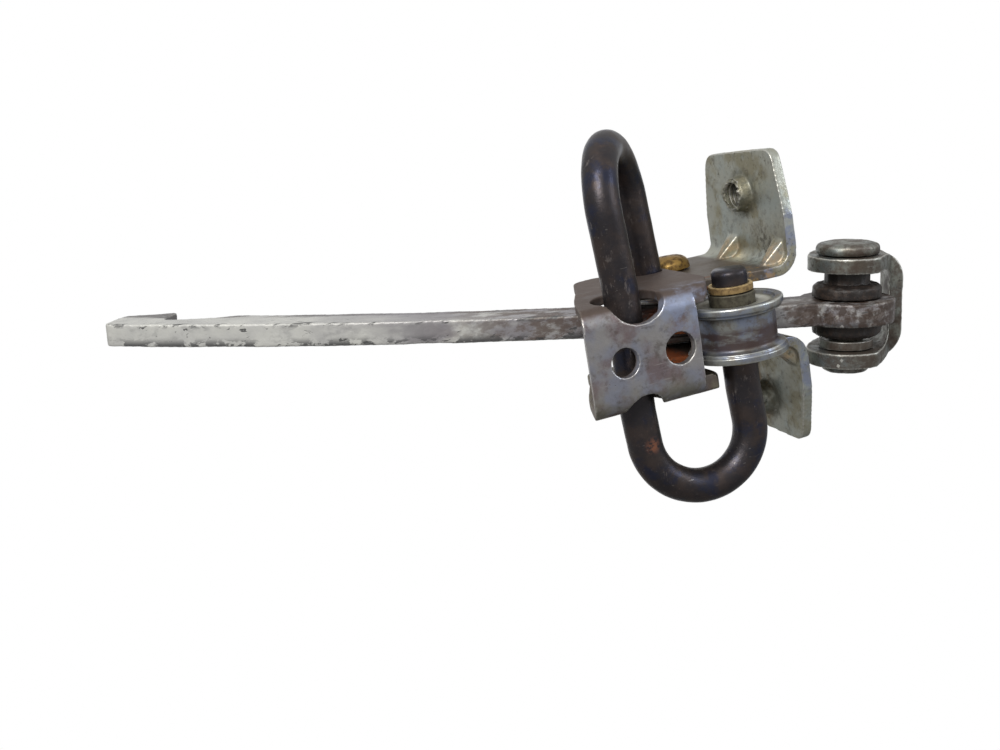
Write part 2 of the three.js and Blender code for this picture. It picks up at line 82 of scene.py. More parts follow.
def studio():
    """A white card behind the object, and a dimmer room that is lighter overhead."""
    scene = bpy.context.scene
    scene.view_settings.view_transform = "Standard"
    world = bpy.data.worlds.new("white_card")
    world.use_nodes = True
    tree = world.node_tree
    backdrop = tree.nodes["Background"]
    direction = tree.nodes.new("ShaderNodeTexCoord").outputs["Generated"]
    split = tree.nodes.new("ShaderNodeSeparateXYZ")
    height = tree.nodes.new("ShaderNodeMapRange")
    height.inputs["From Min"].default_value = -0.7
    height.inputs["To Min"].default_value = 0.22
    height.inputs["To Max"].default_value = 0.75
    towards = tree.nodes.new("ShaderNodeVectorMath")
    towards.operation = "DOT_PRODUCT"
    towards.inputs[1].default_value = VIEW
    card = tree.nodes.new("ShaderNodeMapRange")
    card.interpolation_type = "SMOOTHSTEP"
    card.inputs["From Min"].default_value = math.cos(math.radians(38))
    card.inputs["From Max"].default_value = math.cos(math.radians(29))
    brighter = tree.nodes.new("ShaderNodeMath")
    brighter.operation = "MAXIMUM"
    tree.links.new(direction, split.inputs[0])
    tree.links.new(direction, towards.inputs[0])
    tree.links.new(split.outputs["Z"], height.inputs["Value"])
    tree.links.new(towards.outputs["Value"], card.inputs["Value"])
    tree.links.new(height.outputs[0], brighter.inputs[0])
    tree.links.new(card.outputs[0], brighter.inputs[1])
    tree.links.new(brighter.outputs[0], backdrop.inputs["Strength"])
    backdrop.inputs["Color"].default_value = (1.0, 1.0, 1.0, 1.0)
    scene.world = world

    soft_light("key", (-0.42, -0.5, 0.55), (-0.03, 0, 0), 5.5, 0.3, (1.0, 0.98, 0.95))
    soft_light("side", (0.5, -0.4, 0.2), (0, 0, 0), 1.1, 0.25, (0.86, 0.92, 1.0))


def camera():
    lens = bpy.data.cameras.new("camera")
    lens.lens = 46.69
    lens.sensor_width = 36.0
    lens.clip_start = 0.01
    holder = bpy.data.objects.new("camera", lens)
    turn = Matrix.Rotation(math.radians(-HEADING), 4, "Z")
    tip = Matrix.Rotation(math.radians(90 + PITCH), 4, "X")
    lean = Matrix.Rotation(math.radians(-ROLL), 4, "Z")
    holder.matrix_world = Matrix.Translation(CAMERA_PLACE) @ turn @ tip @ lean
    bpy.context.scene.collection.objects.link(holder)
    bpy.context.scene.camera = holder


# ---------------------------------------------------------------- materials
def tone(red, green, blue):
    """A colour given as screen values from 0 to 255, as the linear colour that a shader takes."""
    def linear(value):
        share = value / 255
        return share / 12.92 if share <= 0.04045 else ((share + 0.055) / 1.055) ** 2.4
    return (linear(red), linear(green), linear(blue), 1.0)


RUST = tone(176, 92, 40)


class Surface:
    """A material, built up layer by layer from masks between 0 and 1."""

    def __init__(self, name, base, metallic, roughness):
        self.material = bpy.data.materials.new(name)
        self.material.use_nodes = True
        self.tree = self.material.node_tree
        self.shader = self.tree.nodes["Principled BSDF"]
        self.coords = self.node("ShaderNodeTexCoord").outputs["Object"]
        self.colour = base
        self.metallic = metallic
        self.roughness = roughness
        self.height = None

    def node(self, kind):
        return self.tree.nodes.new(kind)

    def link(self, source, target):
        self.tree.links.new(source, target)

    def feed(self, value, socket):
        """Sets a plain number or colour on the socket, and links anything that varies."""
        if isinstance(value, (int, float, tuple)):
            socket.default_value = value
        else:
            self.link(value, socket)

    def maths(self, operation, first, second=None, clamp=False):
        node = self.node("ShaderNodeMath")
        node.operation = operation
        node.use_clamp = clamp
        self.feed(first, node.inputs[0])
        if second is not None:
            self.feed(second, node.inputs[1])
        return node.outputs[0]

    def noise(self, size, detail=6.0, roughness=0.6, stretch=(1, 1, 1), turn=(0, 0, 0), seed=0.0, warp=0.0):
        """Noise whose features are about size metres across, stretched along the axes."""
        mapping = self.node("ShaderNodeMapping")
        mapping.inputs["Location"].default_value = (seed, seed * 0.7, -seed * 1.3)
        mapping.inputs["Rotation"].default_value = [math.radians(angle) for angle in turn]
        mapping.inputs["Scale"].default_value = [1 / (size * factor) for factor in stretch]
        self.link(self.coords, mapping.inputs["Vector"])
        texture = self.node("ShaderNodeTexNoise")
        texture.inputs["Scale"].default_value = 1.0
        texture.inputs["Detail"].default_value = detail
        texture.inputs["Roughness"].default_value = roughness
        texture.inputs["Distortion"].default_value = warp
        self.link(mapping.outputs[0], texture.inputs["Vector"])
        return texture.outputs["Fac"]

    def between(self, value, low, high):
        """0 where value is below low, 1 where it is above high, and smooth between."""
        node = self.node("ShaderNodeMapRange")
        node.interpolation_type = "SMOOTHSTEP"
        node.inputs["From Min"].default_value = low
        node.inputs["From Max"].default_value = high
        self.link(value, node.inputs["Value"])
        return node.outputs[0]

    def near(self, place, core, reach):
        """1 within core metres of a point, fading to 0 at reach."""
        node = self.node("ShaderNodeVectorMath")
        node.operation = "DISTANCE"
        node.inputs[1].default_value = place
        self.link(self.coords, node.inputs[0])
        return self.between(node.outputs["Value"], reach, core)

    def beyond(self, place, start, end):
        """0 within start metres of a point, rising to 1 at end."""
        return self.near(place, end, start)

    def along(self, direction, start, end):
        """0 before start and 1 after end, measured in metres along a direction."""
        node = self.node("ShaderNodeVectorMath")
        node.operation = "DOT_PRODUCT"
        node.inputs[1].default_value = direction
        self.link(self.coords, node.inputs[0])
        return self.between(node.outputs["Value"], start, end)

    def edges(self, low=0.51, high=0.56):
        """1 on the outer edges, which rubbing keeps bright."""
        return self.between(self.node("ShaderNodeNewGeometry").outputs["Pointiness"], low, high)

    def creases(self, low=0.49, high=0.44):
        """1 in the inner corners, where dirt stays."""
        return self.between(self.node("ShaderNodeNewGeometry").outputs["Pointiness"], low, high)

    def both(self, first, second):
        return self.maths("MULTIPLY", first, second, clamp=True)

    def blend(self, mask, under, over):
        node = self.node("ShaderNodeMix")
        node.data_type = "FLOAT"
        for socket, value in zip((node.inputs[0], node.inputs[2], node.inputs[3]), (mask, under, over)):
            self.feed(value, socket)
        return node.outputs[0]

    def layer(self, mask, colour=None, strength=1.0, metallic=None, roughness=None, raised=None):
        """Lays a coat over what is there, where the mask is 1."""
        if strength != 1.0:
            mask = self.maths("MULTIPLY", mask, strength)
        if colour is not None:
            node = self.node("ShaderNodeMix")
            node.data_type = "RGBA"
            node.inputs[7].default_value = colour
            self.link(mask, node.inputs[0])
            self.feed(self.colour, node.inputs[6])
            self.colour = node.outputs[2]
        if metallic is not None:
            self.metallic = self.blend(mask, self.metallic, metallic)
        if roughness is not None:
            self.roughness = self.blend(mask, self.roughness, roughness)
        if raised is not None:
            self.grain(mask, raised)

    def grain(self, value, amount):
        """Adds relief in millimetres from a noise value."""
        relief = self.maths("MULTIPLY", value, amount)
        self.height = relief if self.height is None else self.maths("ADD", self.height, relief)

    def finish(self):
        for value, socket in (
            (self.colour, "Base Color"), (self.metallic, "Metallic"), (self.roughness, "Roughness"),
        ):
            self.feed(value, self.shader.inputs[socket])
        bump = self.node("ShaderNodeBump")
        bump.inputs["Strength"].default_value = 1.0
        bump.inputs["Distance"].default_value = MM
        self.link(self.height, bump.inputs["Height"])
        self.link(bump.outputs[0], self.shader.inputs["Normal"])
        return self.material


def scratches(surface, size, turn, seed):
    """Thin straight lines in one direction, broken up by a coarser noise."""
    lines = surface.noise(size, 2.0, 0.5, stretch=(40, 1, 1), turn=turn, seed=seed)
    patches = surface.between(surface.noise(size * 25, 2.0, seed=seed + 3), 0.5, 0.62)
    return surface.both(surface.between(lines, 0.66, 0.74), patches)


def worn_plate(name, base, warm, cool, seed, grime=0.5):
    """Zinc plate that has lived in a door: cool and warm tints, dull patches, pits and bright edges."""
    s = Surface(name, base, 0.8, 0.42)
    s.layer(s.between(s.noise(9 * MM, 5.0, seed=seed), 0.42, 0.66), cool, 0.8, roughness=0.36)
    s.layer(s.between(s.noise(7 * MM, 6.0, seed=seed + 5), 0.45, 0.64), warm, 0.85, roughness=0.5)
    s.layer(s.between(s.noise(2.2 * MM, 8.0, 0.7, seed=seed + 9), 0.5, 0.68), tone(84, 76, 70), grime,
            roughness=0.6)
    s.layer(s.between(s.noise(0.8 * MM, 6.0, 0.75, seed=seed + 2), 0.62, 0.72), tone(50, 43, 38), 0.75,
            metallic=0.4, roughness=0.7, raised=-0.02)
    s.layer(s.edges(), tone(214, 212, 206), 0.75, roughness=0.32)
    s.layer(s.creases(), tone(44, 38, 33), 0.8, metallic=0.3, roughness=0.7)
    for turn, step in (((0, 0, 25), 0), ((0, 0, -50), 4), ((0, 70, 15), 8)):
        s.layer(scratches(s, 0.35 * MM, turn, seed + step), tone(205, 202, 198), 0.4, roughness=0.3,
                raised=-0.006)
    s.grain(s.noise(0.5 * MM, 5.0, 0.65, seed=seed), 0.035)
    s.grain(s.noise(4 * MM, 3.0, 0.5, seed=seed + 1), 0.14)
    return s


def channel_finish():
    s = worn_plate("zinc_plate", tone(156, 153, 152), tone(120, 104, 104), tone(144, 148, 164), 1.0, 0.6)
    inside = s.along((0, 1, 0), FRONT_AXIS.y - 5.2 * MM, FRONT_AXIS.y - 4.2 * MM)
    s.layer(inside, tone(82, 66, 52), 0.75, metallic=0.5, roughness=0.65)
    corner = s.near(FRONT_AXIS + Vector((-14, -6, 10)) * MM, 4 * MM, 11 * MM)
    patches = s.between(s.noise(3 * MM, 5.0, 0.6, seed=14), 0.36, 0.6)
    s.layer(s.both(corner, patches), tone(160, 172, 200), 0.7, roughness=0.34)
    low = s.along((0, 0, -1), 4 * MM, 12 * MM)
    s.layer(s.both(low, s.between(s.noise(6 * MM, 5.0, seed=8), 0.38, 0.58)), tone(122, 118, 98), 0.75)
    top = s.along((0, 0, 1), 10.2 * MM, 11.8 * MM)
    s.layer(s.both(top, s.between(s.noise(5 * MM, 6.0, 0.65, seed=12), 0.28, 0.55)), tone(92, 80, 74), 0.9,
            metallic=0.6, roughness=0.6)
    return s.finish()


def bracket_finish():
    s = worn_plate("yellowed_zinc", tone(178, 179, 168), tone(152, 146, 122), tone(170, 178, 174), 20.0, 0.45)
    plate = s.along((-1, 0, 0), 5 * MM, 8.5 * MM)
    s.layer(plate, tone(82, 70, 62), 0.88, metallic=0.65, roughness=0.5)
    # Painted shade: a dark, blotchy patch at the front of the upper bracket's bend, beside the rod end.
    painted_shade = s.near((-0.0045, -0.008, 0.0135), 2 * MM, 8.5 * MM)
    s.layer(s.both(painted_shade, s.between(s.noise(1.6 * MM, 7.0, 0.7, seed=30), 0.42, 0.6)), tone(58, 52, 42), 0.8,
            metallic=0.4, roughness=0.7)
    for side in (1, -1):
        for reach in DARTS:
            dart = Vector((-4.5, reach, side * 12)) * MM
            blotches = s.between(s.noise(1.6 * MM, 4.0, seed=24), 0.4, 0.6)
            s.layer(s.both(s.near(dart, 1 * MM, 4.6 * MM), blotches), tone(204, 178, 144), 0.7, roughness=0.3)
        boss = Vector((BOSS_REACH.x, 0, side * BOSS_REACH.z))
        around = s.both(s.near(boss + Vector((3.6, 0, 0)) * MM, 4.8 * MM, 7 * MM),
                        s.between(s.noise(2 * MM, 5.0, seed=27), 0.3, 0.6))
        s.layer(around, tone(100, 100, 88), 0.7, roughness=0.6)
        for depth in (0, 3, 6):
            hole = s.near(boss + Vector((depth, 0, 0)) * MM, 2.9 * MM, 3.3 * MM)
            s.layer(hole, tone(58, 56, 54), 0.75, roughness=0.5)
    front_edge = s.along((0, -1, 0), 16.6 * MM, 17 * MM)
    s.layer(s.both(front_edge, s.between(s.noise(3 * MM, 5.0, seed=37), 0.4, 0.6)), tone(140, 148, 172), 0.8)
    specks = s.both(s.between(s.noise(1.1 * MM, 8.0, 0.8, seed=33), 0.54, 0.64),
                    s.between(s.noise(12 * MM, 3.0, seed=35), 0.42, 0.58))
    s.layer(specks, tone(70, 66, 52), 0.75, metallic=0.4, roughness=0.7)
    for place, reach, colour, seed in (((-0.010, -0.015, 0.008), 7, tone(150, 118, 66), 41),
                                       ((-0.024, -0.012, 0.008), 9, tone(116, 66, 32), 44)):
        blotches = s.between(s.noise(3 * MM, 5.0, seed=seed), 0.5, 0.6)
        s.layer(s.both(blotches, s.near(place, 2 * MM, reach * MM)), colour, 0.8, metallic=0.3, roughness=0.6)
    rust = s.between(s.noise(2 * MM, 6.0, 0.7, seed=49), 0.3, 0.5)
    hidden = s.both(s.along((-1, 0, 0), 26 * MM, 30 * MM), rust)
    low = s.along((0, 0, -1), 6 * MM, 7 * MM)
    s.layer(s.both(hidden, low), RUST, 0.9, metallic=0.0, roughness=0.85)
    streak = s.between(s.noise(3 * MM, 5.0, 0.7, seed=47, stretch=(1, 1, 3)), 0.42, 0.58)
    s.layer(s.both(s.near((-0.004, 0.004, -0.025), 4 * MM, 10 * MM), streak), tone(136, 104, 56), 0.8,
            metallic=0.4, roughness=0.6)
    return s.finish()


def rod_finish():
    s = Surface("black_spring_steel", tone(56, 53, 56), 0.75, 0.36)
    s.layer(s.between(s.noise(8 * MM, 5.0, seed=50), 0.4, 0.62), tone(74, 64, 60), 0.8, roughness=0.46)
    s.layer(s.between(s.noise(6 * MM, 4.0, seed=53), 0.5, 0.66), tone(46, 50, 68), 0.85, roughness=0.3)
    s.layer(s.between(s.noise(0.9 * MM, 7.0, 0.75, seed=56), 0.58, 0.7), tone(96, 80, 72), 0.5, metallic=0.5,
            roughness=0.6)
    worn = s.both(s.between(s.noise(1.2 * MM, 7.0, 0.75, seed=57, stretch=(1, 1, 3)), 0.56, 0.66),
                  s.between(s.noise(12 * MM, 3.0, seed=58), 0.48, 0.6))
    s.layer(worn, tone(140, 132, 128), 0.6, roughness=0.35)
    rust = s.near((-0.0475, -0.0255, -0.0215), 0.3 * MM, 2.6 * MM)
    s.layer(s.both(rust, s.between(s.noise(1.4 * MM, 5.0, 0.6, seed=59), 0.4, 0.52)), tone(128, 78, 52), 0.8,
            metallic=0.2, roughness=0.8)
    s.layer(scratches(s, 0.4 * MM, (0, 30, 60), 61), tone(140, 136, 132), 0.5, roughness=0.3)
    s.grain(s.noise(0.45 * MM, 5.0, 0.7, seed=63), 0.045)
    s.grain(s.noise(2.5 * MM, 3.0, 0.5, seed=65), 0.1)
    return s.finish()


def roller_finish():
    s = Surface("roller_zinc", tone(146, 148, 144), 0.82, 0.36)
    s.layer(s.between(s.noise(5 * MM, 5.0, seed=70), 0.42, 0.62), tone(132, 142, 166), 0.75, roughness=0.3)
    s.layer(s.between(s.noise(3 * MM, 6.0, 0.65, seed=72), 0.46, 0.62), tone(112, 104, 96), 0.75,
            roughness=0.5)
    band = s.both(s.along((0, 0, 1), -4.2 * MM, -3.0 * MM), s.along((0, 0, -1), -1.8 * MM, 0))
    patches = s.between(s.noise(4 * MM, 5.0, seed=74, stretch=(2, 2, 0.6)), 0.32, 0.5)
    s.layer(s.both(band, patches), tone(74, 58, 56), 0.9, metallic=0.6, roughness=0.35)
    recess = s.along((0, 0, 1), 5.3 * MM, 5.45 * MM)
    hub = s.near(FRONT_AXIS + Vector((0, 0, 5.5)) * MM, 8.6 * MM, 9.4 * MM)
    s.layer(s.both(recess, hub), tone(96, 92, 74), 0.85, metallic=0.5, roughness=0.6)
    s.layer(s.creases(0.492, 0.455), tone(42, 38, 34), 0.85, metallic=0.3, roughness=0.6)
    s.layer(s.edges(0.508, 0.54), tone(212, 214, 206), 0.8, roughness=0.3)
    s.layer(s.between(s.noise(0.9 * MM, 7.0, 0.8, seed=76), 0.58, 0.68), tone(56, 50, 46), 0.7, metallic=0.4,
            roughness=0.6)
    s.grain(s.noise(0.5 * MM, 5.0, 0.65, seed=78), 0.03)
    return s.finish()


def small_finish(name, base, dirt, bright, metallic, roughness, seed):
    s = Surface(name, base, metallic, roughness)
    s.layer(s.between(s.noise(1.8 * MM, 6.0, 0.7, seed=seed), 0.42, 0.62), dirt, 0.8, roughness=0.7)
    s.layer(s.creases(), dirt, 0.8, metallic=0.2, roughness=0.7)
    s.layer(s.edges(), bright, 0.8, roughness=roughness * 0.8)
    s.grain(s.noise(0.4 * MM, 6.0, 0.7, seed=seed + 2), 0.06)
    return s.finish()


def arm_finish():
    """Grey paint, chipped along both edges of the front, rubbed through where the rollers run."""
    s = Surface("worn_grey_paint", tone(190, 190, 185), 0.2, 0.5)
    s.layer(s.between(s.noise(10 * MM, 5.0, seed=90), 0.4, 0.64), tone(172, 172, 170), 0.7)
    streaks = s.noise(2.5 * MM, 6.0, 0.65, seed=91, stretch=(3, 1, 1))
    s.layer(s.between(streaks, 0.52, 0.68), tone(150, 150, 148), 0.6)
    back_edge = s.near(ARC_CENTRE, 456 * MM, 458.2 * MM)
    rubbed = s.between(s.noise(8 * MM, 6.0, 0.65, seed=93, stretch=(4, 1, 1)), 0.36, 0.48)
    s.layer(s.both(back_edge, rubbed), tone(92, 88, 88), 0.85, metallic=0.5, roughness=0.5)
    worn = s.both(s.along((1, 0, 0), -118 * MM, -76 * MM),
                  s.between(s.noise(9 * MM, 5.0, seed=92, stretch=(2.5, 1, 0.8)), 0.32, 0.56))
    s.layer(worn, tone(134, 130, 136), 0.85, metallic=0.6, roughness=0.42)
    grime = s.both(s.along((1, 0, 0), -92 * MM, -58 * MM),
                   s.between(s.noise(3 * MM, 7.0, 0.7, seed=95, stretch=(2.6, 1, 1)), 0.42, 0.56))
    s.layer(grime, tone(88, 74, 66), 0.85, metallic=0.3, roughness=0.6)
    front = s.beyond(ARC_CENTRE, 464.2 * MM, 465.4 * MM)
    for side, depth, low, seed in ((1, 1.4, 0.53, 97), (-1, 0.2, 0.5, 98)):
        height = EYE.dot(EYE_UP) * side
        edge = s.both(front, s.along(EYE_UP * side, height + depth * MM, height + 2.7 * MM))
        paint = s.noise(3 * MM, 7.0, 0.62, seed=seed, stretch=(4.5, 1, 1), warp=0.3)
        flakes = s.both(edge, s.between(paint, low, low + 0.04))
        s.layer(flakes, tone(70, 70, 72), 0.95, metallic=0.5, roughness=0.5, raised=-0.03)
    chips = s.between(s.noise(1.8 * MM, 6.0, 0.6, seed=99, stretch=(3.5, 1, 0.8), warp=0.5), 0.63, 0.66)
    s.layer(chips, tone(84, 84, 84), 0.9, metallic=0.5, roughness=0.5, raised=-0.03)
    s.layer(s.edges(), tone(206, 206, 200), 0.35)
    smears = s.between(s.noise(2.5 * MM, 7.0, 0.7, seed=101), 0.38, 0.55)
    grease = s.both(s.near(EYE, 10 * MM, 26 * MM), smears)
    s.layer(grease, tone(60, 46, 38), 0.9, metallic=0.2, roughness=0.45)
    between_rollers = s.near((FRONT_AXIS + REAR_AXIS) / 2 + Vector((-8, -4, 0)) * MM, 5 * MM, 12 * MM)
    rust = s.both(between_rollers, s.between(s.noise(2 * MM, 6.0, 0.7, seed=107), 0.3, 0.5))
    s.layer(rust, RUST, 0.9, metallic=0.0, roughness=0.85)
    s.grain(s.noise(0.6 * MM, 5.0, 0.6, seed=103), 0.03)
    s.grain(s.noise(6 * MM, 3.0, 0.5, seed=105), 0.2)
    return s.finish()


def clevis_finish():
    s = worn_plate("clevis_zinc", tone(134, 136, 128), tone(88, 76, 66), tone(124, 132, 134), 120.0, 0.8)
    s.layer(s.between(s.noise(3 * MM, 7.0, 0.7, seed=124), 0.44, 0.6), tone(70, 58, 50), 0.8, metallic=0.4,
            roughness=0.55)
    s.layer(s.between(s.noise(1.2 * MM, 7.0, 0.75, seed=127), 0.56, 0.66), tone(40, 34, 30), 0.85,
            metallic=0.2, roughness=0.6)
    s.layer(s.edges(0.515, 0.55), tone(196, 196, 188), 0.6, roughness=0.35)
    return s.finish()


def grease_finish():
    s = Surface("greasy_black", tone(36, 31, 29), 0.1, 0.42)
    s.layer(s.between(s.noise(1.5 * MM, 6.0, 0.7, seed=140), 0.45, 0.65), tone(62, 49, 41), 0.8,
            roughness=0.6)
    s.grain(s.noise(0.7 * MM, 6.0, 0.7, seed=142), 0.15)
    return s.finish()


# ---------------------------------------------------------------- shapes
def add_piece(name, mesh, material, body, slot, *nodes):
    """Puts a finished mesh in the scene as a piece that rides on a CAD body and stands for CAD nodes."""
    mesh.materials.clear()
    mesh.materials.append(material)
    mesh.shade_smooth()
    piece = bpy.data.objects.new(name, mesh)
    bpy.context.scene.collection.objects.link(piece)
    if nodes:
        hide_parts(*nodes)
    if body:
        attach(piece, body)
    return piece


def filleted(corners, steps=5):
    """A profile of (radius, height, fillet) corners in millimetres, as points in metres."""
    points = []
    for i, (radius, height, fillet) in enumerate(corners):
        here = Vector((radius, height))
        inside = 0 < i < len(corners) - 1
        if fillet == 0 or not inside:
            points.append(here * MM)
            continue
        before = Vector(corners[i - 1][:2]) - here
        after = Vector(corners[i + 1][:2]) - here
        reach = min(fillet, before.length * 0.48, after.length * 0.48)
        start = here + before.normalized() * reach
        end = here + after.normalized() * reach
        for step in range(steps + 1):
            share = step / steps
            points.append((start * (1 - share) ** 2 + here * 2 * share * (1 - share) + end * share ** 2) * MM)
    return points


def turned(name, corners, place, axis, segments=96, closed=False):
    """A round mesh about an axis. A closed profile makes a ring; an open one starts and ends on the axis."""
    points = filleted(corners)
    verts, faces = [], []
    turn = UP.rotation_difference(Vector(axis))
    rings = []
    for radius, height in points:
        if radius < 1e-7 and not closed:
            rings.append([len(verts)])
            verts.append(Vector((0, 0, height)))
            continue
        rings.append(range(len(verts), len(verts) + segments))
        for i in range(segments):
            angle = 2 * math.pi * i / segments
            verts.append(Vector((radius * math.cos(angle), radius * math.sin(angle), height)))
    pairs = list(zip(rings, rings[1:]))
    if closed:
        pairs.append((rings[-1], rings[0]))
    for low, high in pairs:
        for i in range(segments):
            j = (i + 1) % segments
            if len(low) == 1 and len(high) == 1:
                continue
            if len(low) == 1:
                faces.append((low[0], high[j], high[i]))
            elif len(high) == 1:
                faces.append((low[i], low[j], high[0]))
            else:
                faces.append((low[i], low[j], high[j], high[i]))
    mesh = bpy.data.meshes.new(name)
    mesh.from_pydata([turn @ vert + Vector(place) for vert in verts], [], faces)
    return mesh


def uneven(mesh, size, amount, seed):
    """Moves every point a little along its normal, as forging, wear and grease leave a surface."""
    mesh.update()
    shift = Vector((seed, -seed, seed * 0.5))
    normals = [vert.normal.copy() for vert in mesh.vertices]
    for vert, normal in zip(mesh.vertices, normals):
        vert.co += normal * amount * noise.fractal(vert.co / size + shift, 0.9, 2.1, 3)
    mesh.update()


def refined(node, voxel, rounding, size=6 * MM, amount=0.06 * MM, seed=1.0):
    """A fine copy of a CAD node's mesh with softened edges and a slightly uneven surface."""
    copy = bpy.data.objects.new(node + "_fine", frame["nodes"][node].data.copy())
    bpy.context.scene.collection.objects.link(copy)
    remesh = copy.modifiers.new("remesh", "REMESH")
    remesh.mode = "VOXEL"
    remesh.voxel_size = voxel
    smooth = copy.modifiers.new("smooth", "SMOOTH")
    smooth.iterations = rounding
    bpy.context.view_layer.update()
    evaluated = copy.evaluated_get(bpy.context.evaluated_depsgraph_get())
    mesh = bpy.data.meshes.new_from_object(evaluated)
    bpy.data.objects.remove(copy)
    mesh.name = node + "_mesh"
    uneven(mesh, size, amount, seed)
    return mesh


ANCHOR_LEG = Vector((-31.3, 0.5, 0)) * MM         # the leg that the top flange holds
ANCHOR_START = 7.6 * MM
ROD_TOP, ROD_BOTTOM, ROD_END = 43.8 * MM, -34.9 * MM, 13.3 * MM


def rod_path():
    """The rod's middle line: anchor leg, top loop, torsion leg, bottom loop, and up as the roller's axle."""
    anchor = ANCHOR_LEG
    torsion = Vector((TORSION_LEG.x, TORSION_LEG.y, 0))
    axle = Vector((FRONT_AXIS.x, FRONT_AXIS.y, 0))
    lean, lean_start = 0.07, 14 * MM
    step = 0.6 * MM

    def straight(place, start, end):
        count = max(2, round(abs(end - start) / step))
        return [place + UP * (start + (end - start) * i / count) for i in range(count)]

    def loop(start, end, top, side):
        middle = (start + end) / 2
        across = start - middle
        count = round(math.pi * across.length / step)
        return [
            middle + across * math.cos(math.pi * i / count)
            + UP * (top + side * across.length * math.sin(math.pi * i / count))
            for i in range(count)
        ]

    top = ROD_TOP - (anchor - torsion).length / 2
    bottom = ROD_BOTTOM + (torsion - axle).length / 2
    path = straight(anchor, ANCHOR_START, top) + loop(anchor, torsion, top, 1)
    path += straight(torsion, top, bottom) + loop(torsion, axle, bottom, -1)
    path += straight(axle, bottom, ROD_END) + [axle + UP * ROD_END]
    for point in path:
        beyond = max(abs(point.z) - lean_start, 0) * (1 if point.z > 0 else -1)
        point.x -= lean * beyond
    return path


def rod_mesh():
    path = rod_path()
    sides, radius, chamfer = 56, 4 * MM, 0.5 * MM
    verts, faces = [], []
    count = len(path)
    side = Vector((1, 0, 0))
    for i, point in enumerate(path):
        heading = (path[min(i + 1, count - 1)] - path[max(i - 1, 0)]).normalized()
        side = (side - heading * side.dot(heading)).normalized()
        other = heading.cross(side)
        reach = radius - chamfer if i in (0, count - 1) else radius
        if i == 0:
            verts.append(point.copy())
        for k in range(sides):
            angle = 2 * math.pi * k / sides
            verts.append(point + (side * math.cos(angle) + other * math.sin(angle)) * reach)
    verts.append(path[-1].copy())
    last = len(verts) - 1
    for k in range(sides):
        n = (k + 1) % sides
        faces.append((0, 1 + n, 1 + k))
        for i in range(count - 1):
            a, b = 1 + i * sides, 1 + (i + 1) * sides
            faces.append((a + k, a + n, b + n, b + k))
        end = 1 + (count - 1) * sides
        faces.append((end + k, end + n, last))
    mesh = bpy.data.meshes.new("torsion_rod_mesh")
    mesh.from_pydata(verts, [], faces)
    uneven(mesh, 5 * MM, 0.05 * MM, 2.0)
    return mesh


# ---------------------------------------------------------------- pieces
PLATE_VOXEL = 0.25 * MM                           # fineness of the remeshed plates


def torn_rim(mesh, side):
    """Roughens the end of a tapped boss, where the plate tore as it was drawn out."""
    reach, fade = 4.4 * MM, 1.2 * MM
    for vert in mesh.vertices:
        aside = Vector((vert.co.y, vert.co.z - side * BOSS_REACH.z)).length
        depth = vert.co.x - BOSS_REACH.x
        if aside < reach and depth < fade:
            tear = 0.5 + noise.fractal(vert.co / (1.6 * MM), 0.8, 2.0, 3)
            vert.co.x += 0.9 * MM * max(0.0, tear) * (1 - max(depth, 0) / fade)
    mesh.update()


def thread(name, side, material):
    """The screw thread inside a boss: a thin ridge wound round the hole."""
    pitch, turns, steps, radius = 1.0 * MM, 5, 40, 3.15 * MM
    verts, faces = [], []
    count = turns * steps
    for i in range(count + 1):
        angle = 2 * math.pi * i / steps
        height = BOSS_REACH.x + 0.9 * MM + pitch * i / steps
        taper = min(1.0, i / 12, (count - i) / 12)
        for out, along in ((0.15, -0.42), (-0.42 * taper, 0.0), (0.15, 0.42)):
            reach = radius + out * MM
            verts.append((height + along * MM, reach * math.cos(angle),
                          side * BOSS_REACH.z + reach * math.sin(angle)))
    for i in range(count):
        for k in range(3):
            n = (k + 1) % 3
            faces.append((i * 3 + k, i * 3 + n, i * 3 + 3 + n, i * 3 + 3 + k))
    faces += [(2, 1, 0), (count * 3, count * 3 + 1, count * 3 + 2)]
    mesh = bpy.data.meshes.new(name)
    mesh.from_pydata(verts, [], faces)
    add_piece(name, mesh, material, "housing", "yellowed_zinc")


def plates():
    zinc = channel_finish()
    add_piece("channel_plate", refined("front_channel", PLATE_VOXEL, 5), zinc, "housing", "zinc_plate",
              "front_channel")
    yellowed = bracket_finish()
    for side, sign in (("upper", 1), ("lower", -1)):
        node = side + "_bracket"
        mesh = refined(node, PLATE_VOXEL, 5, seed=4.0)
        torn_rim(mesh, sign)
        add_piece(side + "_bracket_plate", mesh, yellowed, "housing", "yellowed_zinc", node)
        thread(side + "_thread", sign, yellowed)
    clevis = clevis_finish()
    add_piece("clevis_plate", refined("clevis_bracket", PLATE_VOXEL, 6, amount=0.1 * MM), clevis, "clevis",
              "clevis_zinc", "clevis_bracket")
    return clevis


def rod():
    piece = add_piece("rod", rod_mesh(), rod_finish(), None, "black_spring_steel", "torsion_rod")
    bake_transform(piece)


def roller(name, node, axis, body, material):
    profile = [
        (5.6, -6.3, 0.3), (9.6, -6.3, 0.3), (9.9, -5.9, 0.3), (10.3, -6.3, 0.2), (11.3, -6.3, 0.5),
        (11.3, -4.9, 0.3), (10.9, -4.6, 0.2), (10.8, -4.1, 0.5), (9.2, -3.9, 0.9), (9.2, 3.9, 0.9),
        (10.8, 4.1, 0.5), (10.9, 4.6, 0.2), (11.3, 4.9, 0.3), (11.3, 6.3, 0.5), (9.6, 6.3, 0.3),
        (9.2, 5.5, 0.4), (5.6, 5.5, 0.2),
    ]
    mesh = turned(name, profile, axis, UP, 128, closed=True)
    uneven(mesh, 4 * MM, 0.05 * MM, 3.0)
    add_piece(name, mesh, material, body, "roller_zinc", node)


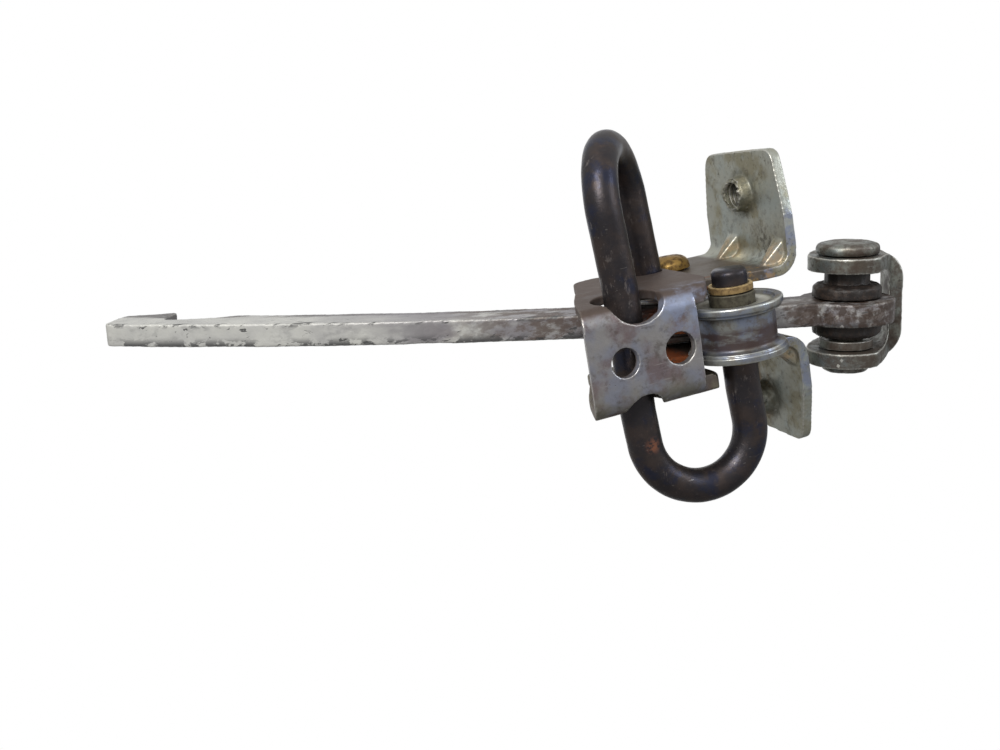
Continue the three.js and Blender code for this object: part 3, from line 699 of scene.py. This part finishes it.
def ring(name, node, inner, outer, low, high, place, axis, body, material, slot, fillet=0.25):
    corners = [(inner, low, fillet), (outer, low, fillet), (outer, high, fillet), (inner, high, fillet)]
    mesh = turned(name, corners, place, axis, 96, closed=True)
    uneven(mesh, 2 * MM, 0.04 * MM, 5.0)
    add_piece(name, mesh, material, body, slot, node)


def housing_rounds():
    zinc = roller_finish()
    roller("front_roller_body", "front_roller", FRONT_AXIS, "front_roller", zinc)
    roller("rear_roller_body", "rear_roller", REAR_AXIS, "rear_roller", zinc)
    bush = small_finish("dark_bush", tone(88, 84, 70), tone(50, 44, 36), tone(132, 128, 112), 0.6, 0.5, 150)
    tan = small_finish("tan_washer", tone(150, 124, 82), tone(78, 58, 36), tone(214, 190, 140), 0.5,
                       0.55, 155)
    ring("front_bush", "front_roller_bush", 4.3, 5.2, -6.3, 8.0, FRONT_AXIS, UP, "spring_arm", bush,
         "dark_bush")
    ring("retaining_washer", "front_retaining_washer", 4.3, 5.05, 8.3, 9.9, FRONT_AXIS, UP, "spring_arm", tan,
         "tan_washer")
    ring("lower_washer", "front_lower_washer", 4.3, 6.0, -7.7, -6.6, FRONT_AXIS, UP, "spring_arm", tan,
         "tan_washer")
    ring("rear_bush", "rear_roller_bush", 3.7, 5.2, -7.0, 7.0, REAR_AXIS, UP, "swing_bush", bush, "dark_bush")
    for side, low in (("upper", 6.55), ("lower", -7.05)):
        ring("rear_thrust_" + side, f"rear_{side}_washer", 5.5, 8.6, low, low + 0.5, REAR_AXIS, UP,
             "housing", zinc, "roller_zinc", 0.1)
    brass = small_finish("rivet_brass_tint", tone(158, 126, 70), tone(70, 54, 40), tone(222, 186, 112), 0.8,
                         0.35, 160)
    head = [(0, -13.5, 0), (2.8, -13.3, 1.5), (4.6, -12.2, 1.4), (5.0, -10.1, 0.4), (3.4, -10.1, 0.2),
            (3.4, 10.1, 0.2), (5.0, 10.1, 0.4), (4.6, 12.2, 1.4), (2.8, 13.3, 1.5), (0, 13.5, 0)]
    mesh = turned("rear_rivet", head, REAR_AXIS, UP)
    uneven(mesh, 3 * MM, 0.15 * MM, 7.0)
    add_piece("rear_rivet", mesh, brass, "housing", "rivet_brass_tint", "rear_axle_rivet")


def clevis_rounds(clevis):
    grease = grease_finish()
    pin = [(0, -15.3, 0), (4.4, -15.2, 0.6), (5.6, -14.5, 0.7), (5.6, -13.4, 0.3), (4.0, -13.4, 0.2),
           (4.0, 13.4, 0.2), (7.1, 13.4, 0.4), (7.5, 14.3, 0.8), (7.3, 15.6, 1.0), (5.6, 16.2, 1.2),
           (0, 16.3, 0)]
    mesh = turned("pin", pin, EYE, EYE_UP)
    uneven(mesh, 3 * MM, 0.12 * MM, 9.0)
    add_piece("pin", mesh, clevis, "clevis", "clevis_zinc", "pivot_pin")
    for side, end in ((1, 9.2), (-1, 6.55)):
        corners = [(4.3, 0.15, 0), (5.1, 0.15, 0.2), (5.1, 3.05, 0.1), (8.1, 3.05, 0.4), (8.1, 5.45, 0.5),
                   (7.1, 6.25, 0.6), (5.3, 6.25, 0.5), (5.3, end, 0.2), (4.3, end, 0.1)]
        name = "upper_bushing" if side > 0 else "lower_bushing"
        mesh = turned(name + "_fine", corners, EYE, EYE_UP * side, closed=True)
        uneven(mesh, 1.0 * MM, 0.2 * MM, 11.0 + side)
        add_piece(name + "_fine", mesh, grease, "clevis", "greasy_black", name)
    ring("spacer_ring", "lower_spacer", 4.3, 6.4, -9.2, -7.15, EYE, EYE_UP, "clevis", clevis, "clevis_zinc")


def arm():
    mesh = refined("check_arm", 0.3 * MM, 5, size=9 * MM, amount=0.12 * MM, seed=6.0)
    add_piece("arm_bar", mesh, arm_finish(), "arm", "worn_grey_paint", "check_arm")


studio()
camera()
clevis_material = plates()
rod()
housing_rounds()
clevis_rounds(clevis_material)
arm()
